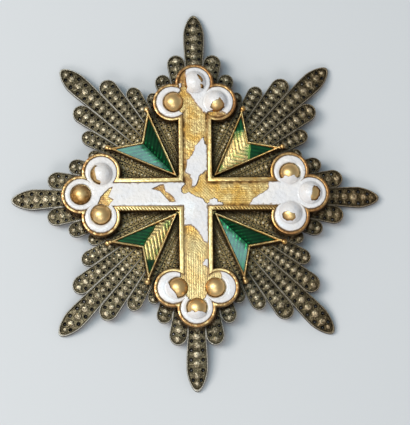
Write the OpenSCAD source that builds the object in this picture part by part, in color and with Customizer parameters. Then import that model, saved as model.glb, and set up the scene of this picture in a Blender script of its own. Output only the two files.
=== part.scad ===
// Breast star: pierced silver rays carry a green eight-pointed cross and a white
// trefoil cross, both in gold frames. Millimetres, face up, +Y is the star's top.

/* [Star] */
// Radius to the tips of the top and bottom rays
ray_tip_y = 44.4; // [44.3:0.1:46]
// Radius to the tips of the left and right rays
ray_tip_x = 42.5; // [41:0.1:43.5]
// Radius to the tips of the diagonal rays
ray_tip_d = 44.2; // [42:0.1:44.3]
// Height of the star's domed back above the surface it lies on, at the middle
dome_h = 4.8; // [4.4:0.1:5]
// Thickness of the silver between the rays' borders
sheet_t = 0.8; // [0.6:0.05:0.8]
// Height of the threads that border each ray
thread_h = 0.3; // [0.15:0.05:0.3]
// Width of the thread on each side of a ray
thread_w = 0.24; // [0.15:0.01:0.3]
// Widest half-width of a long ray
ray_half_w = 2.42; // [2.3:0.02:2.5]

/* [Beads and piercings] */
// Ratio between the radii of one bead and the next along a ray
bead_step = 1.062; // [1.055:0.001:1.075]
// Beads raised on each ray, from its tip inwards
beads_per_ray = 7; // [3:1:8]
// Pairs of holes through each long ray
pairs_long = 3; // [1:1:4]
// Pairs of holes through each short ray
pairs_short = 1; // [1:1:2]

/* [White cross] */
// Half-width of an arm of the trefoil cross
arm_half_w = 3.7; // [3.4:0.05:3.8]
// Distance of an arm's side lobes from the middle
side_lobe_a = 21.5; // [21:0.1:22]
// Distance of the side lobes from the arm's midline
side_lobe_b = 5.1; // [4.9:0.1:5.3]
// Distance of an arm's end lobe from the middle
end_lobe_a = 26.1; // [25.8:0.1:26.5]
// Outer radius of a lobe
lobe_r = 4.2; // [4:0.05:4.3]
// Width of the gold rim
white_rim_w = 0.75; // [0.6:0.05:0.8]
// Radius of the gold domes in the lobes
boss_r = 2.3; // [2.1:0.05:2.35]

/* [Green cross] */
// Inner corner of an arm, along X and along Y
green_apex = 4.1; // [4.1:0.05:4.4]
// Notch of an arm, along X and along Y
green_notch = 12.2; // [11.8:0.1:12.6]
// Point of an arm, along its nearer axis
green_point_a = 19.8; // [19.4:0.1:20]
// Point of an arm, away from its nearer axis
green_point_b = 10.85; // [10.6:0.05:11]
// Width of the gold rim
green_rim_w = 0.6; // [0.4:0.05:0.65]
// Radius of the ball on each point
point_ball_r = 0.65; // [0.5:0.05:0.75]
// Slope of the two faces of an arm, from its side edges up to its ridge
face_slope = 8; // [6:0.5:9]

/* [Brooch pin] */
// Distance of the hinge and of the catch from the middle
pin_reach = 20.5; // [19:0.5:21]
// Radius of the pin wire
wire_r = 0.55; // [0.45:0.05:0.6]

/* [Hidden] */
// Clearances, and sizes that reach past everything, below it and above it
gap = 0.1;
thin_gap = 0.04;
deep = 20;
span = 60;
below = -1;
round_fn = 72;

// Star: 48 rays, a whole number of them in each group
ray_angle = 360 / 48;
dome_r = ray_tip_y;
dome_power = 2.5;
ray_start = 6;
dome_rings = [0, 12, 22, 31, 38, dome_r];
past_tips = dome_r + 2;
tip_stretch = 1.15;
tip_facets = 8;
min_straight = 0.2;
field_start = 7;
first_bead = 0.964;
bead_size = 0.0255;
bead_h = 0.5;
bead_root = 0.3;
hole_size = 0.0115;
hole_side = 0.5;
min_bead_r = 16;

// Tip radii of the rays beside a long one, counted outwards from it
TIPS_STRAIGHT = [34.3, 30.1, 26.6];
TIPS_DIAGONAL = [35.1, 30];

// Columns: node, direction of the long ray, its tip radius, tips of the rays beside it
RAY_GROUPS = [
    ["ray_group_e", 0, ray_tip_x, TIPS_STRAIGHT],
    ["ray_group_ne", 45, ray_tip_d, TIPS_DIAGONAL],
    ["ray_group_n", 90, ray_tip_y, TIPS_STRAIGHT],
    ["ray_group_nw", 135, ray_tip_d, TIPS_DIAGONAL],
    ["ray_group_w", 180, ray_tip_x, TIPS_STRAIGHT],
    ["ray_group_sw", 225, ray_tip_d, TIPS_DIAGONAL],
    ["ray_group_s", 270, ray_tip_y, TIPS_STRAIGHT],
    ["ray_group_se", 315, ray_tip_d, TIPS_DIAGONAL]
];

// Back plate and pin
plate_r = 25;
plate_t = 0.7;
hinge_w = 3.4;
hinge_l = 4.2;
catch_w = 1.6;
catch_l = 2.4;
pin_z = 0.3 + wire_r;
pin_overrun = 2.2;
knuckle_r = 0.75;
block_low = 1.6;

// Levels of the two crosses
hub_r = 6;
green_z = 6;
green_base_t = 0.6;
green_rim_z = 7.6;
green_floor_z = green_z + green_base_t;
green_coat = 0.3;
white_z = 6.05;
white_floor_z = 7.65;
white_rim_z = 8.1;
white_fill_z = 8.15;
boss_z = white_floor_z - 0.15;
boss_coat = 0.28;
ring_gap = 0.06;
point_ball_out = 0.25;
point_ball_z = 7;

// Columns: name of the arm, its direction, side offset of its domes
ARMS = [["e", 0, 4.65], ["n", 90, 4.9], ["w", 180, 4.7], ["s", 270, 4.2]];
// Columns: end of the node's name, distance along the arm, share of the side offset
BOSSES = [["left", side_lobe_a, 1], ["end", end_lobe_a, 0], ["right", side_lobe_a, -1]];

// Outlines of the white enamel that is left, anticlockwise from the middle of the cross
NORTH_PATCH = [
    [1.7, 13.3], [0.8, 12.1], [-0.1, 11.2], [-0.8, 8.9], [-2.1, 7.7], [-2.4, 4.9], [-1.2, 4.5],
    [-1, 3.1], [-0.6, 1.7], [0.1, 2.1], [1, 4.2], [2.1, 5.2], [4, 5.4], [4, 10], [2.4, 11.7]
];
NORTH_TIP = [
    [-2, 32], [-2.1, 27], [-1.7, 24], [2.1, 19.3], [2.4, 15], [12, 15], [12, 32]
];
NORTH_RING = [
    [-4.6, 15], [-12, 15], [-12, 26], [-4.3, 26], [-3.4, 24.2], [-4.9, 23.2], [-6.5, 21],
    [-4.9, 18.6]
];
WEST_AND_SOUTH = [
    [-3.2, 4], [-32, 12], [-32, -12], [-4, -4], [-4, -7.2], [-1.5, -7.2], [-0.3, -7.9],
    [0.6, -8.8], [1, -9.7], [1.7, -10.9], [4, -11.6], [4, -4], [6, -4], [6.1, -2.1],
    [5.2, -1.8], [4.4, -0.9], [3.3, -1.3], [2.6, -2.2], [1.7, -1.6], [0.9, -0.7], [0, -0.5],
    [-1.2, 0.2], [-2.6, 0.1], [-3.3, 0.6], [-2.6, 2.3]
];
WEST_ARM_CHIP = [
    [-9.8, 1.2], [-8, 0.7], [-6.9, -0.7], [-6, -1.8], [-4.6, -1.8], [-5.1, -0.7],
    [-6.9, 0.7], [-7.3, 2.1], [-8, 2.1]
];
WEST_TIP_CHIP = [
    [-19.2, 1.6], [-20.6, 2.2], [-22.4, 1.4], [-22.4, -1.2], [-21.3, -2.6], [-19.4, -2],
    [-18.7, 0]
];
EAST_TIP = [
    [16.8, 4], [16.4, 1.2], [15, 0], [12.8, -1.4], [12.3, -4], [32, -12], [32, 12]
];
SOUTH_TIP = [
    [-12, -15], [-12, -32], [12, -32], [12, -15], [4.6, -15], [4.9, -18.4], [2.2, -21.8],
    [1.6, -23.4], [-1.6, -23.4], [-2.2, -21.8], [-4.9, -18.4], [-4.6, -15]
];
SOUTH_CRUMB = [[1.7, -15.2], [1.5, -16.4], [2.4, -17], [4, -16.6], [4, -14.9]];

// Columns: node, outline, chips inside it, domes that it covers as [arm, dome]
WHITE_ENAMEL = [
    ["white_enamel_n_stem", NORTH_PATCH, [], []],
    ["white_enamel_n_tip", NORTH_TIP, [], [[1, 1], [1, 2]]],
    ["white_enamel_n_ring", NORTH_RING, [], []],
    ["white_enamel_w_and_s", WEST_AND_SOUTH, [WEST_ARM_CHIP, WEST_TIP_CHIP], [[2, 2]]],
    ["white_enamel_e_tip", EAST_TIP, [], []],
    ["white_enamel_s_tip", SOUTH_TIP, [], []],
    ["white_enamel_s_crumb", SOUTH_CRUMB, [], []]
];

// Parts of the north-east and south-west arms whose green enamel is left
NE_TOP_LEFT_OVER = [[8, 15.4], [10.4, 14.6], [14, 14.6], [14, 24], [8, 24]];
NE_RIGHT_LEFT_OVER = [[12.9, 5], [24, 5], [24, 14], [14, 14], [12.2, 11.2]];
SW_LEFT_LEFT_OVER = [[-9.4, -4], [-24, -4], [-24, -14], [-11.6, -14], [-11.4, -10.8], [-9.7, -8]];
SW_LOW_LEFT_OVER = [[-12.6, -14.9], [-14, -24], [-6, -24], [-6.4, -15.2], [-9, -15.6]];
WHOLE_ARM = [[-30, -30], [30, -30], [30, 30], [-30, 30]];

// Columns: node, direction of the arm, outline of the enamel that is left
GREEN_ENAMEL = [
    ["green_enamel_nw", 90, WHOLE_ARM],
    ["green_enamel_se", 270, WHOLE_ARM],
    ["green_enamel_ne_top", 0, NE_TOP_LEFT_OVER],
    ["green_enamel_ne_right", 0, NE_RIGHT_LEFT_OVER],
    ["green_enamel_sw_left", 180, SW_LEFT_LEFT_OVER],
    ["green_enamel_sw_low", 180, SW_LOW_LEFT_OVER]
];

GROUP_NODES = [for (g = RAY_GROUPS) g[0]];
WHITE_NODES = [for (e = WHITE_ENAMEL) e[0]];
GREEN_NODES = [for (e = GREEN_ENAMEL) e[0]];
BOSS_NODES = [for (a = ARMS) for (b = BOSSES) boss_name(a, b)];

function boss_name(arm, boss) = str("dome_", arm[0], "_", boss[0]);

// Height of the star's underside at a radius
function back_z(r) = dome_h * (1 - pow(r / dome_r, dome_power));

// Profile under a surface that lies a given height above the star's underside
function dome_profile(height, r_out, low) = concat(
    [[0, low], [r_out, low], [r_out, back_z(r_out) + height]],
    [for (i = [len(dome_rings) - 1 : -1 : 0]) if (dome_rings[i] < r_out)
        [dome_rings[i], back_z(dome_rings[i]) + height]]
);

function turned(p, a) = [p[0] * cos(a) - p[1] * sin(a), p[0] * sin(a) + p[1] * cos(a)];

// Half-width of a ray's end, where its sides stop widening
function end_half_w(tip) = min(ray_half_w, tip * sin(ray_angle / 2) / (1 + tip_stretch * sin(ray_angle / 2)));

// Round end of a ray along +X, from its right side to its left side
function ray_end(tip, inset) =
    let (w = end_half_w(tip), c = tip - tip_stretch * w, side = w / tan(ray_angle / 2))
    concat(
        side < c - min_straight ? [[side, -w + inset]] : [],
        [for (i = [0 : tip_facets]) let (a = -90 + 180 * i / tip_facets)
            [c + (tip_stretch * w - inset) * cos(a), (w - inset) * sin(a)]],
        side < c - min_straight ? [[side, w - inset]] : []
    );

// Outline of the sunk field of one ray along +X, inside its threads
function ray_field(tip) =
    let (w = field_start * tan(ray_angle / 2) - thread_w)
    concat([[field_start, w], [field_start, -w]], ray_end(tip, thread_w));

// Tip radius of a ray, by its place beside the long one
function ray_tip(group, i) = i == 0 ? group[2] : group[3][abs(i) - 1];

// Outline of a whole group of rays along +X
function group_outline(group) =
    let (n = len(group[3]))
    concat(
        [for (i = [n + 1 : -1 : -n]) let (a = (i - 0.5) * ray_angle)
            [ray_start * cos(a), ray_start * sin(a)]],
        [for (i = [-n : n]) for (p = ray_end(ray_tip(group, i), 0)) turned(p, i * ray_angle)]
    );

function bead_radius(tip, k) = first_bead * tip / pow(bead_step, k);

// Corner where two lines meet, each given by a point and a direction
function crossing(p, u, q, v) =
    let (t = ((q[0] - p[0]) * v[1] - (q[1] - p[1]) * v[0]) / (u[0] * v[1] - u[1] * v[0]))
    p + t * u;

// Anticlockwise outline moved inwards by d
function shrunk(o, d) =
    let (n = len(o))
    [for (i = [0 : n - 1])
        let (
            a = o[(i + n - 1) % n], b = o[i], c = o[(i + 1) % n],
            u = (b - a) / norm(b - a), v = (c - b) / norm(c - b)
        )
        crossing(b + d * [-u[1], u[0]], u, b + d * [-v[1], v[0]], v)];

green_outline = [
    [green_apex, green_apex], [green_point_a, green_point_b],
    [green_notch, green_notch], [green_point_b, green_point_a]
];
green_side_angle = atan2(green_point_b - green_apex, green_point_a - green_apex);

module slab(outline, z0, z1) {
    translate([0, 0, z0])
        linear_extrude(z1 - z0)
            polygon(outline);
}

module under_dome(height, r_out, low) {
    rotate_extrude($fn = round_fn * 2)
        polygon(dome_profile(height, r_out, low));
}

// Fields of the rays, from their sunk floor upwards
module ray_fields(group) {
    n = len(group[3]);
    difference() {
        for (i = [-n : n])
            rotate(i * ray_angle)
                slab(ray_field(ray_tip(group, i)), 0, deep);
        under_dome(sheet_t, past_tips, below);
    }
}

module ray_holes(group) {
    n = len(group[3]);
    for (i = [-n : n])
        rotate(i * ray_angle)
            for (k = [0 : (i == 0 ? pairs_long : pairs_short) - 1])
                for (side = [-1, 1])
                    let (r = bead_radius(ray_tip(group, i), k + 0.5))
                        translate([r, side * hole_side * min(ray_half_w, r * tan(ray_angle / 2)), below])
                            cylinder(h = deep, r = hole_size * r, $fn = 24);
}

module ray_beads(group) {
    n = len(group[3]);
    for (i = [-n : n])
        rotate(i * ray_angle)
            for (k = [0 : beads_per_ray - 1])
                let (r = bead_radius(ray_tip(group, i), k))
                    if (r > min_bead_r)
                        translate([r, 0, back_z(r) + bead_root])
                            rotate(22.5)
                                cylinder(h = sheet_t - bead_root + bead_h, r = bead_size * r, $fn = 8);
}

// A bundle of rays: one long and the shorter ones on both sides, with sunk, beaded
// and pierced fields between raised threads
module ray_group(group) {
    n = len(group[3]);
    half = (n + 0.5) * ray_angle;
    color([0.52, 0.49, 0.42])
        rotate(group[1])
            difference() {
                union() {
                    difference() {
                        intersection() {
                            slab(group_outline(group), below, deep);
                            difference() {
                                under_dome(sheet_t + thread_h, past_tips, below);
                                under_dome(0, past_tips + 1, 2 * below);
                            }
                        }
                        ray_fields(group);
                    }
                    ray_beads(group);
                }
                ray_holes(group);
                for (side = [-1, 1])
                    rotate(side * half)
                        translate([0, -gap / 2, below])
                            cube([span, gap, deep]);
            }
}

// Disc behind the rays that they are riveted to
module back_plate() {
    color([0.46, 0.43, 0.37])
        difference() {
            under_dome(-gap, plate_r, below);
            under_dome(-gap - plate_t, plate_r + 1, 2 * below);
        }
}

// Block under the back plate with a round knuckle that holds the wire
module pin_foot(y, w, l, plate_low) {
    translate([-w / 2, y - l / 2, block_low])
        cube([w, l, plate_low - gap - block_low]);
    translate([-w / 2, y - knuckle_r, pin_z])
        cube([w, 2 * knuckle_r, block_low - pin_z + gap]);
    translate([-w / 2, y, pin_z])
        rotate([0, 90, 0])
            cylinder(h = w, r = knuckle_r, $fn = 32);
}

// Pin on the back: a hinge block, the wire lying straight down, and its catch
module brooch_pin() {
    plate_low = back_z(pin_reach + hinge_l / 2) - gap - plate_t;
    color([0.6, 0.57, 0.5])
        union() {
            pin_foot(pin_reach, hinge_w, hinge_l, plate_low);
            pin_foot(-pin_reach, catch_w, catch_l, plate_low);
            translate([0, pin_reach, pin_z])
                rotate([90, 0, 0])
                    cylinder(h = 2 * pin_reach + pin_overrun, r = wire_r, $fn = 32);
        }
}

// Space under one face of a green arm: its side edge lies at the floor's level
module below_face(rise) {
    translate([green_apex, green_apex, green_floor_z + rise])
        rotate(green_side_angle)
            rotate([face_slope, 0, 0])
                translate([-span, -span, -deep])
                    cube([2 * span, 2 * span, deep]);
}

// Space under both faces of the arm, which meet in a ridge on the diagonal
module below_ridge(rise) {
    intersection() {
        below_face(rise);
        mirror([1, -1, 0])
            below_face(rise);
    }
}

// One arm of the green cross's frame, with its rim and ridged floor
module green_arm() {
    inner = shrunk(green_outline, green_rim_w);
    difference() {
        slab(green_outline, green_z, green_rim_z);
        difference() {
            slab(inner, green_floor_z - gap, deep);
            below_ridge(0);
        }
    }
    for (p = [[green_point_a, green_point_b], [green_point_b, green_point_a]])
        translate([p[0] + point_ball_out, p[1] + point_ball_out, point_ball_z])
            sphere(r = point_ball_r, $fn = 32);
}

// Gold frame of the eight-pointed cross, soldered to a hub under the white cross
module green_cross_frame() {
    color([0.72, 0.55, 0.28])
        union() {
            translate([0, 0, green_z])
                cylinder(h = green_base_t, r = hub_r, $fn = round_fn);
            for (a = [0 : 90 : 270])
                rotate(a)
                    green_arm();
        }
}

// Green enamel in one arm, following the ridged floor
module green_enamel(e) {
    inner = shrunk(green_outline, green_rim_w + thin_gap);
    color([0.05, 0.3, 0.2])
        intersection() {
            rotate(e[1])
                difference() {
                    intersection() {
                        slab(inner, green_floor_z, deep);
                        below_ridge(green_coat);
                    }
                    below_ridge(thin_gap);
                }
            slab(e[2], 0, deep);
        }
}

// Plan of the trefoil cross, made smaller all round by inset
module trefoil_plan(inset, z0, z1) {
    reach = end_lobe_a - lobe_r / 2;
    half = arm_half_w - inset;
    for (a = [0, 90])
        rotate(a)
            translate([-reach, -half, z0])
                cube([2 * reach, 2 * half, z1 - z0]);
    for (a = [0 : 90 : 270])
        rotate(a)
            for (b = BOSSES)
                translate([b[1], b[2] * side_lobe_b, z0])
                    cylinder(h = z1 - z0, r = lobe_r - inset, $fn = round_fn);
}

// Gold frame of the trefoil cross: a floor with a raised rim
module white_cross_frame() {
    color([0.78, 0.6, 0.3])
        difference() {
            trefoil_plan(0, white_z, white_rim_z);
            trefoil_plan(white_rim_w, white_floor_z, deep);
            cylinder(h = green_floor_z + gap, r = hub_r + 4 * gap, $fn = round_fn);
        }
}

module at_boss(arm, boss) {
    rotate(arm[1])
        translate([boss[1], boss[2] * arm[2], boss_z])
            children();
}

// Gold dome on the floor of a lobe
module dome(arm, boss) {
    color([0.8, 0.62, 0.3])
        intersection() {
            at_boss(arm, boss)
                sphere(r = boss_r, $fn = round_fn);
            translate([-span, -span, white_floor_z + thin_gap])
                cube([2 * span, 2 * span, deep]);
        }
}

// Enamel over one dome, as a thin shell
module coat(arm, boss) {
    at_boss(arm, boss)
        difference() {
            sphere(r = boss_r + boss_coat, $fn = round_fn);
            sphere(r = boss_r + thin_gap, $fn = round_fn);
        }
}

// White enamel that is left in one stretch of the cell, with its chipped outline
module white_enamel(e) {
    color([0.93, 0.93, 0.9])
        intersection() {
            union() {
                difference() {
                    trefoil_plan(white_rim_w + thin_gap, white_floor_z + thin_gap, white_fill_z);
                    for (a = ARMS)
                        for (b = BOSSES)
                            at_boss(a, b)
                                translate([0, 0, -boss_z])
                                    cylinder(h = deep, r = boss_r + ring_gap, $fn = round_fn);
                }
                for (c = e[3])
                    intersection() {
                        coat(ARMS[c[0]], BOSSES[c[1]]);
                        trefoil_plan(white_rim_w + thin_gap, white_floor_z + thin_gap, deep);
                    }
            }
            difference() {
                slab(e[1], 0, deep);
                for (chip = e[2])
                    slab(chip, below, deep - below);
            }
        }
}

back_plate();
brooch_pin();
green_cross_frame();
white_cross_frame();
for (g = RAY_GROUPS)
    ray_group(g);
for (e = GREEN_ENAMEL)
    green_enamel(e);
for (e = WHITE_ENAMEL)
    white_enamel(e);
for (a = ARMS)
    for (b = BOSSES)
        dome(a, b);
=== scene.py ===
import bmesh
import bpy
import math
import random
from mathutils import Matrix, Vector


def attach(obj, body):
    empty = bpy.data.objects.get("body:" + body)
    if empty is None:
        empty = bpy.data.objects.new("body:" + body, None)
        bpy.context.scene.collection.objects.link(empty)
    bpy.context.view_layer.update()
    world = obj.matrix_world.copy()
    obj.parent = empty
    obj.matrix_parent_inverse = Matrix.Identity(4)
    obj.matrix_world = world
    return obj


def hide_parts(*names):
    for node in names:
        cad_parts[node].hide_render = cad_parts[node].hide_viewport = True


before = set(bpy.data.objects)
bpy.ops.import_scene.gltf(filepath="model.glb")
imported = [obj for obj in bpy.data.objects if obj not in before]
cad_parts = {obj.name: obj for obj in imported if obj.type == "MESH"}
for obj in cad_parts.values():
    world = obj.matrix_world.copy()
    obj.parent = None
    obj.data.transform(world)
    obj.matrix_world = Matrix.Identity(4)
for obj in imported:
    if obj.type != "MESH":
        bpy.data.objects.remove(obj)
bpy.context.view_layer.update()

# The view: the star lies face up on a plain pale floor, seen from a little below
# its middle. The light falls from the left and from high up, through soft boxes.
mm = 0.001
cam_tilt = math.radians(11.0)
cam_turn = math.radians(-6.5)
cam_roll = math.radians(-0.7)
cam_distance = 400 * mm
photo_w, photo_h = 410, 425
focal_px = 1725
middle_px = (195.2, 200.6)
sensor = 36

across_floor = math.sin(cam_tilt)
away = Vector((math.sin(cam_turn) * across_floor, -math.cos(cam_turn) * across_floor, math.cos(cam_tilt)))
right = Vector((0, 1, 0)).cross(away).normalized()
up = away.cross(right)
roll = Matrix.Rotation(cam_roll, 3, away)
right, up = roll @ right, roll @ up
px = cam_distance / focal_px
cam_data = bpy.data.cameras.new("camera")
cam_data.lens = focal_px * sensor / photo_h
cam_data.sensor_width = sensor
cam_data.clip_start = 10 * mm
camera = bpy.data.objects.new("camera", cam_data)
bpy.context.collection.objects.link(camera)
eye = away * cam_distance + right * (photo_w / 2 - middle_px[0]) * px - up * (photo_h / 2 - middle_px[1]) * px
camera.matrix_world = Matrix.Translation(eye) @ Matrix((right, up, away)).transposed().to_4x4()
bpy.context.scene.camera = camera


def soft_box(name, place, size, power, colour):
    data = bpy.data.lights.new(name, "AREA")
    data.shape = "RECTANGLE"
    data.size, data.size_y = size
    data.energy = power
    data.color = colour
    light = bpy.data.objects.new(name, data)
    bpy.context.collection.objects.link(light)
    light.location = place
    light.rotation_euler = (-Vector(place)).to_track_quat("-Z", "Y").to_euler()


bpy.ops.object.select_all(action="DESELECT")
bpy.ops.mesh.primitive_plane_add(size=3)
floor = bpy.context.object
floor.name = "floor"
paint = bpy.data.materials.new("floor")
paint.use_nodes = True
paint_sockets = paint.node_tree.nodes["Principled BSDF"].inputs
paint_sockets["Base Color"].default_value = (0.66, 0.66, 0.67, 1)
paint_sockets["Roughness"].default_value = 0.8
floor.data.materials.append(paint)
soft_box("key", (-0.42, 0.05, 0.60), (0.30, 0.36), 3.3, (1.0, 0.97, 0.92))
soft_box("low", (-0.12, -0.50, 0.52), (0.40, 0.25), 1.2, (1.0, 0.98, 0.96))
soft_box("sky", (-0.14, 0.025, 0.80), (0.24, 0.27), 1.25, (0.55, 0.86, 1.0))
world = bpy.data.worlds.new("world")
world.use_nodes = True
world_sockets = world.node_tree.nodes["Background"].inputs
world_sockets["Color"].default_value = (0.80, 0.83, 0.87, 1)
world_sockets["Strength"].default_value = 0.35
bpy.context.scene.world = world
bpy.context.scene.view_settings.view_transform = "Standard"

# The rays: 48 bundled in eight groups, of cast and chased silver. One stretch of ray
# holds a faceted bead, half of the four holes around it and the raised threads at its
# sides. It is repeated along the ray up to a round tip, and wrapped onto the dome.
ray_angle = 360 / 48
flare = math.tan(math.radians(ray_angle / 2))
bead_step = 1.062
pitch = math.log(bead_step) / flare
sheet = 0.8
dome_height, dome_radius, dome_power = 4.8, 44.4, 2.5
relief_start, relief_growth = 0.35, 0.65 / 40
ray_start = 6.0
widest = 2.42
short_stretch, long_stretch, long_taper = 1.15, 2.0, 0.12
hole_side, hole_low, hole_top = 0.56, 0.07, 0.165
overlap, border_gap = 0.02, 0.05
bead_sides, tip_sides = 8, 28
diamond_squeeze = (0.54, 1)
long_tips = {"e": 42.5, "n": 44.4, "ne": 44.2}
short_tips = {"e": (34.3, 30.1, 26.6), "n": (34.3, 30.1, 26.6), "ne": (35.1, 30.0)}
centre_angles = {"e": 0, "n": 90, "ne": 45}
turned_copies = {"e": {"w": 180}, "n": {"s": 180}, "ne": {"nw": 90, "sw": 180, "se": 270}}
# Columns: distance from the middle line, or radius, and height.
thread = [(0.86, 0.8), (0.872, 0.98), (0.9, 1.09), (0.94, 1.12), (0.975, 1.07), (1.0, 0.94)]
hole_rings = [(hole_low, -0.5), (hole_low, 0.25), (hole_top, 0.66), (1.3 * hole_top, 0.8),
              (1.6 * hole_top, 1.5)]
diamond_rings = [(0.84, 0.5), (0.84, 0.79), (0.3, 1.08)]
knob_rings = [(0.36, 0.5), (0.36, 0.98), (0.32, 1.13), (0.22, 1.25), (0.09, 1.3)]


def work_on(piece, mode="OBJECT"):
    if bpy.context.mode != "OBJECT":
        bpy.ops.object.mode_set(mode="OBJECT")
    bpy.ops.object.select_all(action="DESELECT")
    if piece:
        piece.select_set(True)
        bpy.context.view_layer.objects.active = piece
        bpy.ops.object.mode_set(mode=mode)


def edit_all(piece):
    """Opens a piece in edit mode, with all of it selected."""
    work_on(piece, "EDIT")
    bpy.ops.mesh.select_all(action="SELECT")


def started(name):
    """The primitive that was just added, named and with its place in its mesh."""
    piece = bpy.context.object
    piece.name = name
    bpy.ops.object.transform_apply()
    return piece


def pick(piece, kind, wanted):
    """Selects the vertices or faces of a piece in edit mode whose place and normal pass a test."""
    bpy.ops.mesh.select_mode(type=kind)
    bpy.ops.mesh.select_all(action="DESELECT")
    mesh = bmesh.from_edit_mesh(piece.data)
    for part in mesh.verts if kind == "VERT" else mesh.faces:
        place = part.co if kind == "VERT" else part.calc_center_median()
        if wanted(place, part.normal):
            part.select_set(True)
    mesh.select_flush_mode()
    bmesh.update_edit_mesh(piece.data)


def extrude_up(rise):
    bpy.ops.mesh.extrude_region_move(TRANSFORM_OT_translate={"value": (0, 0, rise)})


def near_to(a, b):
    return abs(a - b) < 1e-4


def combine(piece, tool, operation):
    modifier = piece.modifiers.new("combine", "BOOLEAN")
    modifier.operation = operation
    modifier.object = tool
    modifier.solver = "MANIFOLD"
    work_on(piece)
    bpy.ops.object.modifier_apply(modifier="combine")
    assert not piece.modifiers, piece.name
    bpy.data.objects.remove(tool)


def stepped_plug(name, sides, place, rings, squeeze=(1, 1)):
    """A closed plug round an upright axis, with a radius and a height for each ring."""
    radius, height = rings[0]
    work_on(None)
    bpy.ops.mesh.primitive_circle_add(
        vertices=sides, radius=radius, fill_type="NGON", location=(*place, height))
    plug = started(name)
    edit_all(plug)
    for next_radius, next_height in rings[1:]:
        scale = next_radius / radius
        extrude_up(next_height - height)
        bpy.ops.transform.resize(value=(scale, scale, 1), center_override=(*place, 0))
        radius, height = next_radius, next_height
    bpy.ops.mesh.select_all(action="SELECT")
    bpy.ops.transform.resize(value=(*squeeze, 1), center_override=(*place, 0))
    bpy.ops.mesh.normals_make_consistent(inside=False)
    work_on(plug)
    return plug


def cut_off(piece, edge, outwards):
    """Cuts away what lies beyond a plane through a place, and closes the cut."""
    edit_all(piece)
    bpy.ops.mesh.bisect(plane_co=edge, plane_no=outwards, clear_outer=True, use_fill=True, threshold=1e-5)
    work_on(piece)


def open_end(piece, x):
    work_on(piece, "EDIT")
    pick(piece, "FACE", lambda place, normal: near_to(place.x, x) and abs(normal.x) > 0.99)
    bpy.ops.mesh.delete(type="FACE")
    work_on(piece)


def pierce_and_bead(piece, holes, beads):
    """Cuts openings in pairs beside the middle line, and raises beads on it, each a knob on a
    low diamond. A hole has its place along and beside the line, a bead its place and size."""
    for x, y in holes:
        for side in (-1, 1):
            combine(piece, stepped_plug("hole", bead_sides, (x, side * y), hole_rings), "DIFFERENCE")
    for x, size in beads:
        diamond = [(radius * size, height) for radius, height in diamond_rings]
        combine(piece, stepped_plug("diamond", 4, (x, 0), diamond, squeeze=diamond_squeeze), "UNION")
        knob = [(radius * size, height) for radius, height in knob_rings]
        combine(piece, stepped_plug("bead", bead_sides, (x, 0), knob), "UNION")


work_on(None)
bpy.ops.mesh.primitive_cube_add(size=1, location=(0, 0, sheet / 2), scale=(pitch, 2, sheet))
stretch = started("ray_stretch")
work_on(stretch, "EDIT")
for y, z in thread[:-1]:
    for side in (-1, 1):
        bpy.ops.mesh.select_all(action="SELECT")
        bpy.ops.mesh.bisect(plane_co=(0, side * y, 0), plane_no=(0, 1, 0), threshold=1e-5)
for y, z in thread:
    pick(stretch, "VERT", lambda place, normal: near_to(abs(place.y), y) and near_to(place.z, sheet))
    bpy.ops.transform.translate(value=(0, 0, z - sheet))
bpy.ops.mesh.select_all(action="SELECT")
bpy.ops.mesh.dissolve_limited(angle_limit=0.001)
pierce_and_bead(stretch, [(-pitch / 2, hole_side), (pitch / 2, hole_side)], [(0, 1)])
open_end(stretch, pitch / 2)
open_end(stretch, -pitch / 2)


def ray_tip(stretched, holes, beads):
    """The round end of a ray, drawn out by a factor, with the thread running round it."""
    reach, level = thread[-1]
    work_on(None)
    bpy.ops.mesh.primitive_cylinder_add(
        vertices=tip_sides, radius=reach, depth=level, location=(0, 0, level / 2))
    tip = started("ray_tip")
    work_on(tip, "EDIT")
    pick(tip, "FACE", lambda place, normal: normal.z > 0.9)
    for y, z in reversed(thread[:-1]):
        extrude_up(z - level)
        bpy.ops.transform.resize(value=(y / reach, y / reach, 1), center_override=(0, 0, 0))
        reach, level = y, z
    bpy.ops.mesh.select_all(action="SELECT")
    bpy.ops.transform.resize(value=(stretched, 1, 1), center_override=(0, 0, 0))
    cut_off(tip, (0, 0, 0), (-1, 0, 0))
    pierce_and_bead(tip, holes, beads)
    open_end(tip, 0)
    return tip


short_end = ray_tip(short_stretch, [(0, hole_side)], [(0.5, 0.9)])
long_end = ray_tip(long_stretch, [(0, hole_side), (0.9, 0.42)], [(0.5, 0.95), (1.24, 0.65)])


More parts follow.
